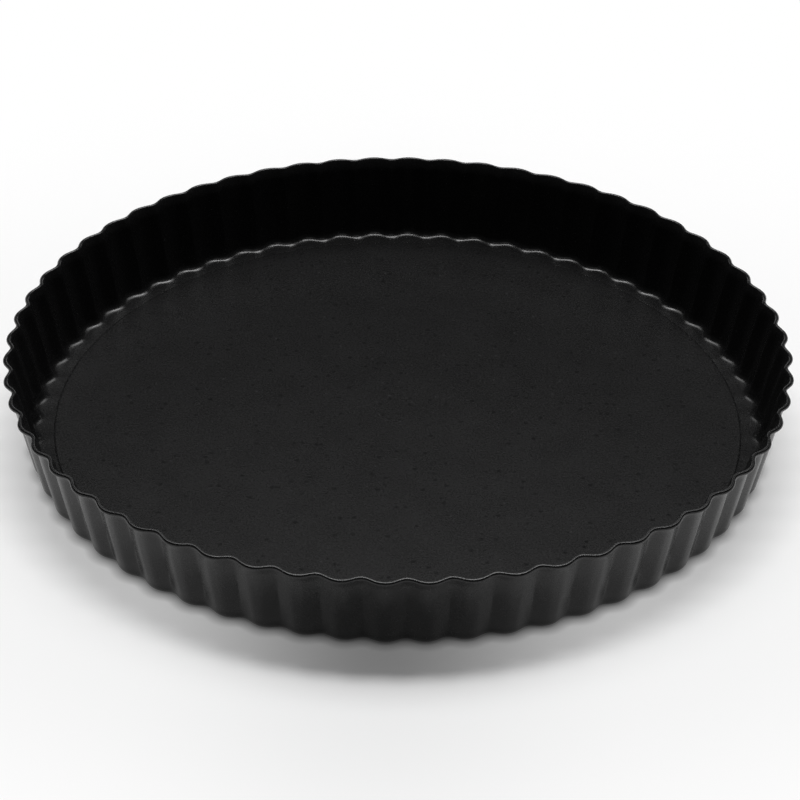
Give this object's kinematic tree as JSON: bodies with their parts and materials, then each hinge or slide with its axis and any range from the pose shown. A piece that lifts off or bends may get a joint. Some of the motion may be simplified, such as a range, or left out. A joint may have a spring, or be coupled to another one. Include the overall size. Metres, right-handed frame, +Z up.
{
  "type": "fluted tart pan",
  "caption": "Round shallow baking pan with a fluted, outward-leaning wall, a thin rolled rim and a flat loose base that lies on an in-turned ledge and lifts out",
  "frame": {"origin": "centre of the flat face that the pan stands on", "axes": "+Z up along the pan's round axis, +X through the tip of a flute, +Y to the back as the picture shows it"},
  "size_m": [0.28, 0.28, 0.0313],
  "materials": {
    "ring_coat": "satin black non-stick coat on steel sheet",
    "base_coat": "satin black non-stick coat on steel sheet, faintly speckled"
  },
  "bodies": {
    "ring": {"fluted_ring": "ring_coat"},
    "base": {"loose_base": "base_coat"}
  },
  "joints": [
    {"name": "base_lift", "type": "slide", "parent": "ring", "child": "base", "axis": [0, 0, 1], "range_m": [0, 0.06]}
  ]
}
